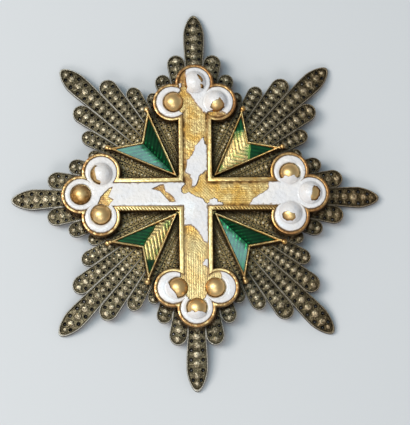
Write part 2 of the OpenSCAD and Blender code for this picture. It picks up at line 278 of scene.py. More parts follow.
def lay_ray(tip_radius, pointed, angle, open_sides=()):
    """One ray: the stretch repeated inwards from the tip, then wrapped onto the dome and turned."""
    end, end_stretch = (long_end, long_stretch) if pointed else (short_end, short_stretch)
    middle = max(tip_radius / (1 + end_stretch * flare), tip_radius - end_stretch * widest)
    ray = copy_of(stretch)
    modifier = ray.modifiers.new("rows", "ARRAY")
    modifier.count = math.ceil(math.log(middle / ray_start) / math.log(bead_step))
    modifier.use_relative_offset = False
    modifier.use_constant_offset = True
    modifier.constant_offset_displace = (-pitch, 0, 0)
    modifier.use_merge_vertices = True
    modifier.merge_threshold = 1e-4
    work_on(ray)
    bpy.ops.object.modifier_apply(modifier="rows")
    cap = copy_of(end)
    cap.data.transform(Matrix.Translation((pitch / 2, 0, 0)))
    cap.select_set(True)
    bpy.ops.object.join()
    edit_all(ray)
    bpy.ops.mesh.remove_doubles(threshold=2e-4)
    bpy.ops.transform.translate(value=(-pitch / 2, 0, 0))
    cut_off(ray, (math.log(ray_start / middle) / flare, 0, 0), (-1, 0, 0))
    edit_all(ray)
    bpy.ops.mesh.normals_make_consistent(inside=False)
    bpy.ops.mesh.quads_convert_to_tris(quad_method="BEAUTY", ngon_method="BEAUTY")
    work_on(ray)
    for point in ray.data.vertices:
        x, v, z = point.co
        along = middle * math.exp(flare * x) if x <= 0 else middle + x * min(flare * middle, widest)
        across = min(flare * min(along, middle), widest) * (1 - long_taper * max(x, 0) if pointed else 1)
        side = -border_gap if (1 if v > 0 else -1) in open_sides else overlap
        y = v * (across + side)
        rise = min(z, sheet) + max(z - sheet, 0) * (relief_start + relief_growth * along)
        dome = dome_height * (1 - (min(math.hypot(along, y), dome_radius) / dome_radius) ** dome_power)
        point.co = (along, y, dome + rise)
    ray.data.transform(Matrix.Rotation(math.radians(angle), 4, "Z"))
    return ray


class Shade:
    """A value, colour or place that changes over a surface. Sums and products of it add nodes."""

    def __init__(self, tree, socket):
        self.tree = tree
        self.socket = socket

    def math(self, operation, *others):
        return add_node(self.tree, "Math", dict(enumerate((self, *others))), operation=operation)[0]

    def __add__(self, other):
        return self.math("ADD", other)

    def __sub__(self, other):
        return self.math("SUBTRACT", other)

    def __rsub__(self, other):
        return self.math("MULTIPLY_ADD", -1.0, other)

    def __mul__(self, other):
        return self.math("MULTIPLY", other)

    def __truediv__(self, other):
        return self.math("DIVIDE", other)

    def __abs__(self):
        return self.math("ABSOLUTE")


def add_node(tree, kind, inputs, **settings):
    """Adds a node and gives its outputs. Each input is a plain value or a shade."""
    made = tree.nodes.new("ShaderNode" + kind)
    for name, value in settings.items():
        setattr(made, name, value)
    for socket, value in inputs.items():
        if isinstance(value, Shade):
            tree.links.new(value.socket, made.inputs[socket])
        else:
            made.inputs[socket].default_value = value
    return [Shade(tree, socket) for socket in made.outputs]


def most(first, *others):
    for other in others:
        first = first.math("MAXIMUM", other)
    return first


def least(first, second):
    return first.math("MINIMUM", second)


def band(value, low, high):
    """Rises smoothly from 0 at low to 1 at high, also where low is the larger of the two."""
    span = {"Value": value, "From Min": low, "From Max": high}
    return add_node(value.tree, "MapRange", span, interpolation_type="SMOOTHSTEP")[0]


def noise(place, scale, detail=2.0):
    return add_node(place.tree, "TexNoise", {"Vector": place, "Scale": scale, "Detail": detail})[0]


def tint(mask, first, second, blend="MIX"):
    """The first colour where the mask is 0 and the second where it is 1."""
    colours = {0: mask}
    for socket, colour in ((6, first), (7, second)):
        colours[socket] = (*colour, 1) if isinstance(colour, tuple) else colour
    return add_node(mask.tree, "Mix", colours, data_type="RGBA", blend_type=blend)[2]


def axes(place):
    return add_node(place.tree, "SeparateXYZ", {0: place})


def gap_to(x, y, at_x, at_y):
    """The distance of a place from a point, as seen from above."""
    u, v = x - at_x, y - at_y
    return (u * u + v * v).math("SQRT")


def lit_from_left(x, y, dark_from, bright_from):
    """Rises from right to left over the star, and a little downwards: painted light, which makes its left
    brighter as the light falls from the left.
    """
    return band(y * 0.35 + x, dark_from, bright_from)


def given(tree, kind, name):
    """What is known of a surface at each place, such as which way it faces."""
    return Shade(tree, tree.nodes.new("ShaderNode" + kind).outputs[name])


def new_material(name, **constants):
    """A new material, and the place on the piece in millimetres."""
    material = bpy.data.materials.new(name)
    material.use_nodes = True
    tree = material.node_tree
    for socket, value in constants.items():
        tree.nodes["Principled BSDF"].inputs[socket.replace("_", " ")].default_value = value
    in_metres = given(tree, "TexCoord", "Object")
    return material, add_node(tree, "VectorMath", {0: in_metres, "Scale": 1000}, operation="SCALE")[0]


def finish(material, height, distance, **results):
    """Joins worked-out colours and values to the shader, and a height through a Bump node."""
    tree = material.node_tree
    shader = tree.nodes["Principled BSDF"]
    for socket, value in results.items():
        tree.links.new(value.socket, shader.inputs[socket.replace("_", " ")])
    bump = add_node(tree, "Bump", {"Height": height, "Distance": distance * mm, "Strength": 1.0})[0]
    tree.links.new(bump.socket, shader.inputs["Normal"])


def node_group(inputs, outputs):
    """Builds a node group from the function below it, whose calls then place that group."""
    def build(work_out):
        group = bpy.data.node_groups.new(work_out.__name__, "ShaderNodeTree")
        for sockets, in_out in ((inputs, "INPUT"), (outputs, "OUTPUT")):
            for socket, kind in sockets.items():
                group.interface.new_socket(name=socket, in_out=in_out, socket_type="NodeSocket" + kind)
        source = group.nodes.new("NodeGroupInput").outputs
        sink = group.nodes.new("NodeGroupOutput").inputs
        results = work_out(*(Shade(group, source[socket]) for socket in inputs))
        for socket, result in zip(outputs, results):
            group.links.new(result.socket, sink[socket])

        def place_group(first, *others):
            return add_node(first.tree, "Group", dict(zip(inputs, (first, *others))), node_tree=group)

        return place_group

    return build


@node_group({"Place": "Vector"}, {"Patches": "Float", "Spots": "Float", "Grain": "Float"})
def metal_age(place):
    """Patches of tarnish a few millimetres wide, spots of one millimetre, and a fine grain."""
    patches = band(noise(place, 0.28, 4.0), 0.38, 0.62)
    spots = band(noise(place, 1.1, 3.0), 0.36, 0.64)
    return patches, spots, noise(place, 7.0)


@node_group({"Place": "Vector"}, {"Height": "Float", "Side": "Float", "Reach": "Float"})
def star_relief(place):
    """The height over the sheet of the rays, the place between the middle line of a ray (0) and
    its border (1), which runs round the tip, and the distance from the centre."""
    x, y, z = axes(place)
    reach = gap_to(x, y, 0, 0)
    level = (reach / dome_radius).math("POWER", dome_power) * -dome_height + (dome_height + sheet)
    height = (z - level) / (reach * relief_growth + relief_start)
    turns = y.math("ARCTAN2", x) / math.radians(ray_angle)
    step = turns.math("ROUND")
    share = (turns - step) * math.radians(ray_angle)
    offset, along = share.math("SINE") * reach, share.math("COSINE") * reach
    step = abs(step.math("WRAP", 6.5, -5.5))
    on_axis = step.math("COMPARE", 0, 0.5)
    pointed = most(on_axis, step.math("COMPARE", 6, 0.5))
    sideways = abs(x).math("GREATER_THAN", abs(y))
    tip = on_axis * sideways * (long_tips["e"] - long_tips["n"])
    tip_reaches = (long_tips["n"], *short_tips["n"], *short_tips["ne"][::-1], long_tips["ne"])
    for steps, tip_reach in enumerate(tip_reaches):
        tip = step.math("COMPARE", steps, 0.5) * tip_reach + tip
    rounding = pointed * (long_stretch - short_stretch) + short_stretch
    middle = most(tip / (rounding * flare + 1.0), rounding * -widest + tip)
    half = least(least(along, middle) * flare, widest)
    past = most(along - middle, 0.0) / half
    side = offset / (half * (past * pointed * -long_taper + 1.0))
    past = past / rounding
    return height, (side * side + past * past).math("SQRT"), reach


def facing_up(tree):
    return axes(given(tree, "NewGeometry", "True Normal"))[2]


@node_group({"Place": "Vector"}, {"Far": "Float", "Near": "Float", "Upright": "Float"})
def folded(place):
    """The arms of both crosses repeat in eight mirrored parts, so a place is folded onto one of
    them: Far runs along an arm of the white cross, Near across it. Upright is 1 on walls."""
    x, y, z = axes(place)
    x, y = abs(x), abs(y)
    return most(x, y), least(x, y), band(facing_up(place.tree), 0.6, 0.2)


# The outlines of both crosses, round which the rays under them are painted dark brown, as dirt and painted
# shade.
arm_half, stem_share = 3.8, 1.5
lobe_radius = 4.38
lobe_along, lobe_aside, lobe_end = 21.5, 5.2, 26.1
mean_dome_aside = 4.6
green_apex, green_notch, green_point = 4.1, 12.2, (19.8, 10.85)
green_side = (Vector(green_point) - Vector((green_apex, green_apex))).normalized()
notch_side = (Vector((green_notch, green_notch)) - Vector(green_point)).normalized()


@node_group({"Far": "Float", "Near": "Float"}, {"Inset": "Float", "Ring": "Float", "Green": "Float"})
def cross_parts(far, near):
    """How far a folded place lies inside the outline of the white cross, how far it is from the
    middle of the nearest dome, and how far it lies inside the green arms."""
    side_lobe, end_lobe = gap_to(far, near, lobe_along, lobe_aside), gap_to(far, near, lobe_end, 0)
    stem = least((arm_half - near) / stem_share, lobe_end - far)
    inset = most(stem, lobe_radius - side_lobe, lobe_radius - end_lobe)
    ring = least(gap_to(far, near, lobe_along, mean_dome_aside), end_lobe)
    green = (near - green_apex) * green_side.x - (far - green_apex) * green_side.y
    notch = (near - green_point[1]) * notch_side.x - (far - green_point[0]) * notch_side.y
    return inset, ring, least(green, notch)


silver, place = new_material("tarnished_silver")
x, y, z = axes(place)
height, side, reach = star_relief(place)
patches, spots, grain = metal_age(place)
far, near, upright = folded(place)
inset, ring, green = cross_parts(far, near)
worn = band(noise(place, 0.9, 1.0), 0.40, 0.62)
# Random facets are painted lighter, as painted glints, and are also bumped.
facet = band(noise(place, 2.6, 1.0), 0.42, 0.62)
# Painted light: towards the centre, in the recess under the crosses, the field is painted lighter and warmer.
inner_painted_light = band(reach, 24.0, 17.0) * 0.7
field = tint(patches, (0.066, 0.055, 0.032), (0.15, 0.127, 0.077))
field = tint(facet * 0.4, field, (0.36, 0.305, 0.19))
field = tint(inner_painted_light, field, (0.56, 0.43, 0.20))
diamond = band(height, 0.0, 0.1) * band(side, 0.86, 0.78)
diamond_colour = tint(worn, (0.17, 0.14, 0.085), (0.40, 0.34, 0.225))
knob = band(height, 0.16, 0.38)
# Painted glints: bright sparkles on the beads near the centre.
painted_sparkle = inner_painted_light * band(noise(place, 1.7, 1.0), 0.52, 0.60)
knob_colour = tint(worn, (0.20, 0.16, 0.09), (0.66, 0.57, 0.40))
knob_colour = tint(facet * 0.55, knob_colour, (0.78, 0.68, 0.50))
knob_colour = tint(painted_sparkle, knob_colour, (0.92, 0.85, 0.62))
wire = band(side, 0.90, 0.94) * band(height, 0.12, 0.24)
twist = (side * 14.0 + reach * 15.0).math("SINE")
# Painted light: the threads are painted paler towards the left and darker towards the centre.
lit_wire = (lit_from_left(x, y, 20.0, -8.0) * 0.55 + 0.2) * band(reach, 15.0, 24.0)
wire_colour = tint(lit_wire, (0.20, 0.17, 0.11), (0.88, 0.85, 0.77))
wire_colour = tint(band(twist, 0.2, -0.8) * 0.35, wire_colour, (0.14, 0.12, 0.08))
wire_foot = band(side, 0.74, 0.84) * band(height, 0.28, 0.2)
pit = band(height, 0.0, -0.13)
colour = tint(diamond * (facet * 0.5 + 0.5), field, diamond_colour)
colour = tint(knob, colour, knob_colour)
colour = tint(wire_foot * 0.6, colour, (0.04, 0.031, 0.02))
colour = tint(wire, colour, wire_colour)
colour = tint(pit, colour, (0.014, 0.011, 0.007))
colour = tint(band(x, 10.0, 42.0) * 0.5 + 0.06, colour, (0.80, 0.52, 0.26), "MULTIPLY")
colour = tint(inner_painted_light * 0.5, colour, (1.0, 0.92, 0.74), "MULTIPLY")
# Painted shade, with some dirt: the rays are painted dark brown round the outlines of both crosses.
dirt_and_shade = most(band(inset, -0.95, -0.15), band(green, -0.75, -0.1)) * band(reach, 31.5, 30.0)
colour = tint(dirt_and_shade * 0.85, colour, (0.045, 0.024, 0.010))
roughness = knob * -0.04 + grain * 0.2 + 0.38
metallic = pit * -0.7 + wire * -0.5 + 1.0
bumps = wire * twist * 0.3 + grain * 0.2 + facet * 0.6
finish(silver, bumps, 0.16, Base_Color=colour, Roughness=roughness, Metallic=metallic)


def settle(piece, name, slot, material, *nodes, soft_edge=32):
    """Brings a finished piece from millimetres to metres, in its place in the frame."""
    piece.name = name
    piece.data.name = name
    piece.data.materials.clear()
    piece.data.materials.append(material)
    piece.data.transform(Matrix.Scale(mm, 4))
    work_on(piece)
    bpy.ops.object.shade_smooth_by_angle(angle=math.radians(soft_edge))
    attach(piece, "root")
    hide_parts(*nodes)


def copy_of(piece, degrees=0):
    twin = piece.copy()
    twin.data = piece.data.copy()
    bpy.context.collection.objects.link(twin)
    twin.data.transform(Matrix.Rotation(math.radians(degrees), 4, "Z"))
    return twin


for group, tips in short_tips.items():
    centre_angle = centre_angles[group]
    bundle = lay_ray(long_tips[group], True, centre_angle)
    for step, short_tip in enumerate(tips, 1):
        for side in (-1, 1):
            open_sides = (side,) if step == len(tips) else ()
            ray = lay_ray(short_tip, False, centre_angle + side * step * ray_angle, open_sides)
            combine(bundle, ray, "UNION")
    for twin_group, degrees in turned_copies[group].items():
        twin = copy_of(bundle, degrees)
        settle(twin, "rays_" + twin_group, "tarnished_silver", silver, "ray_group_" + twin_group)
    settle(bundle, "rays_" + group, "tarnished_silver", silver, "ray_group_" + group)
for pattern in (stretch, short_end, long_end):
    bpy.data.objects.remove(pattern)

# The green cross: four forked arms of gilt metal on a hub, each with a raised rim, a ball
# soldered to both points and a ridged floor that is engraved like a feather under the enamel.
arm_turns = {"e": 0, "n": 90, "w": 180, "s": 270}
green_rim, field_rim = 0.46, 0.08
green_low, green_floor, green_top = 6.0, 6.6, 7.6
field_top = green_top - 0.3
face_slope = math.tan(math.radians(8))
ball_radius, ball_out, ball_height = 0.68, 0.22, 7.0
ball_sides, ball_rows = 20, 12
neck_radius, neck_in, neck_height = 0.4, 0.42, 7.24
hub_radius, hub_sides = 6.0, 48
barb_angle, barb_step, barb_depth = 55, 0.4, 0.08
green_outline = [(green_apex, green_apex), green_point, (green_notch, green_notch), green_point[::-1]]
# Columns: inset from the outline, height from the top of the rim.
green_rim_levels = [(0, -1.6), (0, -0.2), (0.05, -0.08), (0.14, 0), (0.27, -0.01), (0.37, -0.1),
                    (green_rim, -0.3)]
# Columns: place, radius of the green that is left on the bare floors.
left_glass_patches = [(-6.2, -7.0, 1.8), (-11.6, -16.4, 3.0), (-8.4, -13.0, 1.4), (5.4, 6.3, 1.3),
                      (9.7, 14.4, 2.0), (12.6, 10.0, 2.0)]


def shrunk(outline, inset):
    """The corners of an anticlockwise outline, moved inwards."""
    corners = []
    for i, corner in enumerate(outline):
        before, after = Vector(outline[i - 1]), Vector(outline[(i + 1) % len(outline)])
        corner = Vector(corner)
        u = (corner - before).normalized()
        v = (after - corner).normalized()
        n, m = Vector((-u.y, u.x)), Vector((-v.y, v.x))
        corners.append(corner + (n + m) * inset / (1 + n.dot(m)))
    return corners


def move_loop(piece, before, after):
    """Moves each selected corner from its place on one outline to its place on the next."""
    mesh = bmesh.from_edit_mesh(piece.data)
    for vertex in mesh.verts:
        if vertex.select:
            nearest = min(range(len(before)), key=lambda i: (before[i] - vertex.co.xy).length_squared)
            vertex.co.xy = after[nearest]
    bmesh.update_edit_mesh(piece.data)


def heights_from(level, columns):
    return [(across, level + rise) for across, rise in columns]


def raised(name, outline_at, levels):
    """A closed piece built up from a drawn outline, with an inset and a height at each level."""
    inset, height = levels[0]
    corners = [Vector(corner) for corner in outline_at(inset)]
    work_on(None)
    bpy.ops.mesh.primitive_circle_add(
        vertices=len(corners), radius=60, fill_type="NOTHING", location=(0, 0, height))
    piece = started(name)
    places = [vertex.co.xy for vertex in piece.data.vertices]
    if places[0].cross(places[1]) < 0:
        places.reverse()
    work_on(piece, "EDIT")
    bpy.ops.mesh.select_mode(type="VERT")
    bpy.ops.mesh.select_all(action="SELECT")
    move_loop(piece, places, corners)
    for inset, next_height in levels[1:]:
        next_corners = [Vector(corner) for corner in outline_at(inset)]
        extrude_up(next_height - height)
        move_loop(piece, corners, next_corners)
        corners, height = next_corners, next_height
    bpy.ops.mesh.fill()
    bpy.ops.mesh.select_all(action="DESELECT")
    bpy.ops.mesh.select_non_manifold()
    bpy.ops.mesh.fill()
    bpy.ops.mesh.select_all(action="SELECT")
    bpy.ops.mesh.normals_make_consistent(inside=False)
    work_on(piece)
    return piece


def ball(radius, place, height, segments, rings):
    work_on(None)
    bpy.ops.mesh.primitive_uv_sphere_add(
        segments=segments, ring_count=rings, radius=radius, location=(*place, height))
    return started("ball")


def ridge_height(far, near):
    """Height of an arm's floor, which rises from both long sides to the diagonal."""
    rise = (near - green_apex) * green_side.x - (far - green_apex) * green_side.y
    return abs(rise) * face_slope + green_floor


def lift_corner(piece, corner, level, lift):
    corner = Vector((*corner, level))
    pick(piece, "VERT", lambda place, normal: (place - corner).length < 0.01)
    bpy.ops.transform.translate(value=(0, 0, lift))


def least_side(place):
    """Distance of a place inside an arm from the nearest of its four sides."""
    gaps = []
    for start, stop in zip(green_outline, green_outline[1:] + green_outline[:1]):
        along = (Vector(stop) - Vector(start)).normalized()
        gaps.append(along.cross(place.xy - Vector(start)))
    return min(gaps)


def in_field(place, normal):
    return normal.z > 0.9 and green_floor < place.z < field_top


floor_corners = shrunk(green_outline, green_rim)
arm = raised("green_arm", lambda inset: shrunk(green_outline, inset),
             heights_from(green_top, green_rim_levels) + [(green_rim, green_floor)])
work_on(arm, "EDIT")
for corner in floor_corners:
    lift_corner(arm, corner, green_floor, ridge_height(max(corner), min(corner)) - green_floor)
pick(arm, "FACE", in_field)
bpy.ops.mesh.inset(thickness=field_rim, depth=0)
apex = shrunk(green_outline, green_rim + field_rim)[0]
field_low = ridge_height(max(apex), min(apex)) + 0.01
for facet in (1, -1):
    run = math.radians(45 - facet * barb_angle)
    across = Vector((-math.sin(run), math.cos(run), 0))
    spans = [across.dot(Vector((*corner, 0))) for corner in floor_corners]
    barbs = range(math.ceil(min(spans) / barb_step), math.floor(max(spans) / barb_step) + 1)

    def in_facet(place, normal):
        return in_field(place, normal) and facet * (place.x - place.y) > 0.01 and place.z > field_low

    for barb in barbs:
        pick(arm, "FACE", in_facet)
        bpy.ops.mesh.bisect(plane_co=across * barb * barb_step, plane_no=across, threshold=1e-5)
    for barb in barbs[::2]:
        pick(arm, "VERT", lambda place, normal: green_floor + 0.07 < place.z < field_top
             and facet * (place.x - place.y) > 0.01 and abs(across.dot(place) - barb * barb_step) < 0.001
             and least_side(place) > green_rim + 0.05)
        bpy.ops.transform.translate(value=(0, 0, -barb_depth))
work_on(arm)
for corner in (Vector(green_point), Vector(green_point[::-1])):
    to_apex = (Vector((green_apex, green_apex)) - corner).normalized()
    to_notch = (Vector((green_notch, green_notch)) - corner).normalized()
    neck_place = corner + (to_apex + to_notch).normalized() * neck_in
    for radius, centre, height in ((ball_radius, corner + Vector((ball_out, ball_out)), ball_height),
                                   (neck_radius, neck_place, neck_height)):
        combine(arm, ball(radius, centre, height, ball_sides, ball_rows), "UNION")
hub = stepped_plug("hub", hub_sides, (0, 0), [(hub_radius, green_low), (hub_radius, green_floor)])
for degrees in arm_turns.values():
    combine(hub, copy_of(arm, degrees), "UNION")
bpy.data.objects.remove(arm)


@node_group({"Place": "Vector", "FilmAndShade": "Float", "Lines": "Float", "Thin": "Float"},
            {"Color": "Color", "Roughness": "Float", "Height": "Float"})
def gilding(place, film_and_shade, lines, thin):
    """Fire gilding: warm gold, paler where it is polished and coppery where it is thin, browned where its
    film input lies, which is dirt and painted shade, and with dark lines where the metal is engraved."""
    patches, spots, grain = metal_age(place)
    colour = tint(patches, (0.80, 0.385, 0.085), (0.90, 0.57, 0.235))
    colour = tint(spots * 0.28, colour, (0.56, 0.32, 0.10))
    colour = tint(thin, colour, (0.46, 0.205, 0.08))
    colour = tint(lines, colour, (0.30, 0.17, 0.04))
    colour = tint(film_and_shade, colour, (0.085, 0.042, 0.014))
    return colour, film_and_shade * 0.25 + grain * 0.16 + 0.24, lines * -0.7 + grain * 0.3 + spots * 0.4


@node_group({"Far": "Float", "Near": "Float"}, {"Wave": "Float"})
def barb_wave(far, near):
    """Runs between -1 in the engraved lines and 1 between them."""
    run = math.radians(45 - barb_angle)
    across = near * math.cos(run) - far * math.sin(run)
    return ((across / barb_step + 1.0) * math.pi).math("COSINE"),


green_gilt, place = new_material("gilt_green_cross", Metallic=1.0)
x, y, z = axes(place)
far, near, upright = folded(place)
patches, spots, grain = metal_age(place)
on_floor = band(ridge_height(far, near) - z, -0.12, -0.05) * band(upright, 0.5, 0.3)
groove = on_floor * band(barb_wave(far, near)[0], 0.55, -0.5)
# The walls are painted brown and coppery: painted shade, with some dirt.
shaded_wall = upright * band(z, green_top + 0.02, green_top - 0.6)
gold, roughness, height = gilding(place, shaded_wall, groove, shaded_wall * 0.8)
colour = tint(on_floor * 0.4, gold, (0.80, 0.62, 0.30))
left_glass = on_floor * band(noise(place, 0.35, 3.0), 0.46, 0.60) * (groove * 0.4 + 0.12)
colour = tint(left_glass, colour, (0.17, 0.24, 0.05))
for patch_x, patch_y, spread in left_glass_patches:
    patch = band(gap_to(x, y, patch_x, patch_y), spread, 0.3 * spread) * on_floor * 0.65
    colour = tint(patch, colour, (0.06, 0.19, 0.04))
# Painted light: the tops of the rims are painted pale on the left and dark on the right.
lit_rim_colour = tint(lit_from_left(x, y, 12.0, -6.0), (0.42, 0.28, 0.115), (0.84, 0.60, 0.28))
colour = tint(band(z, green_top - 0.35, green_top - 0.25) * (spots * 0.4 + 0.4), colour, lit_rim_colour)
finish(green_gilt, height, 0.06, Base_Color=colour, Roughness=roughness)
settle(hub, "green_cross", "gilt_metal", green_gilt, "green_cross_frame")

# The green enamel: glass fused onto the engraved floors, whole in two arms and
# broken away from most of the other two.
green_under, green_coat, green_gap = 0.04, 0.3, 0.04
whole_arms = {"nw": 90, "se": 270}
# Each piece that is left: the turn of its arm, and the outline that it is broken to.
left_overs = {
    "ne_top": (0, [(8, 15.4), (10.4, 14.6), (14, 14.6), (14, 24), (8, 24)]),
    "ne_right": (0, [(12.9, 5), (24, 5), (24, 14), (14, 14), (12.2, 11.2)]),
    "sw_left": (180, [(-9.4, -4), (-24, -4), (-24, -14), (-11.6, -14), (-11.4, -10.8), (-9.7, -8)]),
    "sw_low": (180, [(-12.6, -14.9), (-14, -24), (-6, -24), (-6.4, -15.2), (-9, -15.6)]),
}
green_jags = (0.2, 0.14, 0.07)
above_all = 14
green_break = [(-0.7, 0), (-0.7, green_floor), (0.5, green_floor + 0.7), (0.5, above_all)]


def broken(outline, inset, amounts, seed):
    """A drawn outline, anticlockwise and inset, with its sides broken up as chipped glass is."""
    draw = random.Random(seed)
    corners = [Vector(corner) for corner in outline]
    if sum(a.cross(b) for a, b in zip(corners, corners[1:] + corners[:1])) < 0:
        corners.reverse()
    corners = shrunk(corners, inset)
    for amount in amounts:
        finer = []
        for a, b in zip(corners, corners[1:] + corners[:1]):
            reach = min(amount, 0.2 * (b - a).length)
            for share in (0, 0.5):
                shift = Vector((draw.uniform(-reach, reach), draw.uniform(-reach, reach)))
                finer.append(a.lerp(b, share) + shift)
        corners = finer
    return corners


def break_off(piece, outline, amounts, seed, levels, operation):
    """Cuts a piece along a broken outline whose sides lean, with an inset at each height."""
    cutter = raised("cutter", lambda inset: broken(outline, inset, amounts, seed), levels)
    combine(piece, cutter, operation)


cell = shrunk(green_outline, green_rim + green_gap)
glass = raised("green_glass", lambda inset: cell, [(0, green_floor), (0, green_floor + green_coat)])
edit_all(glass)
bpy.ops.mesh.bisect(plane_co=(0, 0, 0), plane_no=(1, -1, 0), threshold=1e-5)
for corner in cell:
    lift = ridge_height(max(corner), min(corner)) - green_floor
    lift_corner(glass, corner, green_floor, lift + green_under)
    lift_corner(glass, corner, green_floor + green_coat, lift)
work_on(glass)

green_glass, place = new_material("green_enamel", Metallic=1.0, Coat_Roughness=0.1)
x, y, z = axes(place)
far, near, upright = folded(place)
patches, spots, grain = metal_age(place)
barbs = band(barb_wave(far, near)[0], -0.3, 0.9)
streak = barbs * (spots * 0.7 + 0.3)
from_ridge = far - near
# Painted highlights: bright green glints on the streaks beside the ridge.
ridge_glints = band(streak, 0.35, 0.9) * band(noise(place, 1.6, 2.0), 0.40, 0.60)
colour = tint(patches, (0.002, 0.028, 0.009), (0.006, 0.056, 0.019))
colour = tint(streak * 0.42, colour, (0.016, 0.15, 0.04))
colour = tint(band(from_ridge, 2.6, 0.5) * ridge_glints, colour, (0.02, 0.32, 0.085))
colour = tint(band(from_ridge, 0.32, 0.06), colour, (0.002, 0.018, 0.008))
cut_edge = band(facing_up(place.tree), 0.975, 0.93)
colour = tint(cut_edge * 0.65, colour, (0.11, 0.22, 0.05))
bumps = noise(place, 0.3, 1.0) * 3.0 + barbs * 0.3
gloss = band(noise(place, 0.9, 3.0) * 3.2 + from_ridge - 1.6, 0.3, 2.2) * 0.9 + 0.1
gloss = gloss * (band(x + y, -0.4, 0.4) * -0.6 + 1.0) * (band(y, -18.0, -14.0) * 0.7 + 0.3)
finish(green_glass, bumps, 0.03, Base_Color=colour, Roughness=grain * 0.2 + 0.3, Coat_Weight=gloss)
for arm_name, degrees in whole_arms.items():
    settle(copy_of(glass, degrees), "green_glass_" + arm_name, "green_enamel", green_glass,
           "green_enamel_" + arm_name, soft_edge=10)
for seed, (name, (degrees, outline)) in enumerate(left_overs.items()):
    piece = copy_of(glass, degrees)
    break_off(piece, outline, green_jags, seed, green_break, "INTERSECT")
    settle(piece, "green_glass_" + name, "green_enamel", green_glass, "green_enamel_" + name, soft_edge=10)
bpy.data.objects.remove(glass)

# The white cross: a gilt frame with a raised rim and three round lobes on each arm.
# Its floor is engraved with fine lines, and its corners, walls and rim edges are painted brown, as film and
# as painted shade.
white_rim = 0.68
white_top, white_floor = 8.1, 7.65
below_all = 5
recess_radius, recess_top = hub_radius + 0.4, green_floor + 0.1
milled_step, dash_step = 0.7, 1.6
arc_steps = 22
lobes = {"left": (lobe_along, 1), "end": (lobe_end, 0), "right": (lobe_along, -1)}
# Columns: inset from the outline, height from the top of the rim.
white_rim_levels = [(0, -2.05), (0, -0.17), (0.05, -0.05), (0.16, 0), (0.5, 0), (0.63, -0.05),
                    (white_rim, -0.17), (white_rim, white_floor - white_top)]
# Columns: place, radius of the stain.
stains = [(-2.4, 2.6, 2.4), (-2.9, 7.6, 1.6), (-2.9, 27.2, 2.8), (-5.6, -1.4, 2.4), (-8.6, 1.6, 2.4),
          (-21.2, -1.6, 1.8), (5.6, 18.2, 1.8)]


def trefoil_outline(inset):
    """Outline of the whole cross, anticlockwise, made smaller all round by an inset."""
    half, radius = arm_half - inset * stem_share, lobe_radius - inset
    to_end = Vector((lobe_end - lobe_along, -lobe_aside))
    first = math.atan2(to_end.y, to_end.x) + math.acos(min(1, to_end.length / 2 / radius))
    last = math.pi + math.asin((lobe_aside - half) / radius)
    left = []
    for step in range(arc_steps + 1):
        angle = first + (last - first) * step / arc_steps
        left.append((lobe_along + radius * math.cos(angle), lobe_aside + radius * math.sin(angle)))
    widest_angle = math.atan2(left[0][1], left[0][0] - lobe_end)
    end = []
    for step in range(1, arc_steps):
        angle = widest_angle * (2 * step / arc_steps - 1)
        end.append((lobe_end + radius * math.cos(angle), radius * math.sin(angle)))
    side = [(half, -half), *((x, -y) for x, y in reversed(left)), *end, *left]
    turns = [Matrix.Rotation(math.radians(degrees), 2) for degrees in arm_turns.values()]
    return [turn @ Vector(point) for turn in turns for point in side]


white_frame = raised("white_frame", trefoil_outline, heights_from(white_top, white_rim_levels))
recess = stepped_plug("recess", hub_sides, (0, 0), [(recess_radius, below_all), (recess_radius, recess_top)])
combine(white_frame, recess, "DIFFERENCE")

white_gilt, place = new_material("gilt_white_cross", Metallic=1.0)
x, y, z = axes(place)
far, near, upright = folded(place)
inset, ring, green = cross_parts(far, near)
patches, spots, grain = metal_age(place)
on_floor = band(z, white_floor + 0.1, white_floor + 0.05)
# Painted shade, with some dirt: the walls, the floor along the rim and both edges of the rim are painted
# brown.
shaded_wall = upright * band(z, white_top - 0.1, white_top - 0.9)
corner = on_floor * band(inset, 1.25, 0.85) * (spots * 0.5 + 0.45)
rim_edge_shade = band(inset, 0.54, 0.68) * band(z, white_top - 0.3, white_top - 0.15) * 0.8
lobe_rim = band(far, 16.5, 19.5) * band(inset, 0.8, 0.6) * (spots * 0.35 + 0.12)
outer_shadow_line = band(inset, 0.14, 0.02) * 0.75
film_and_shade = most(shaded_wall, corner, rim_edge_shade, lobe_rim, outer_shadow_line)
# Brushed lines along the arms, crossed ones in the middle and chevrons on the lower arm.
brushed = (noise(place, 0.5) * 3.0 + near * 12.0).math("SINE")
crossed = most(((x + y) * 9.0).math("SINE"), ((x - y) * 9.0).math("SINE"))
lines = (crossed - brushed) * band(far, 6.5, 4.0) + brushed
chevrons = ((near + y) * 9.0).math("SINE")
lines = (chevrons - lines) * (band(y, -8.2, -9.2) * band(y, -14.5, -12.5)) + lines
lines = band(lines, 0.2, 1.0) * on_floor * (band(y, 7.0, 9.0) * -0.16 + 0.32)
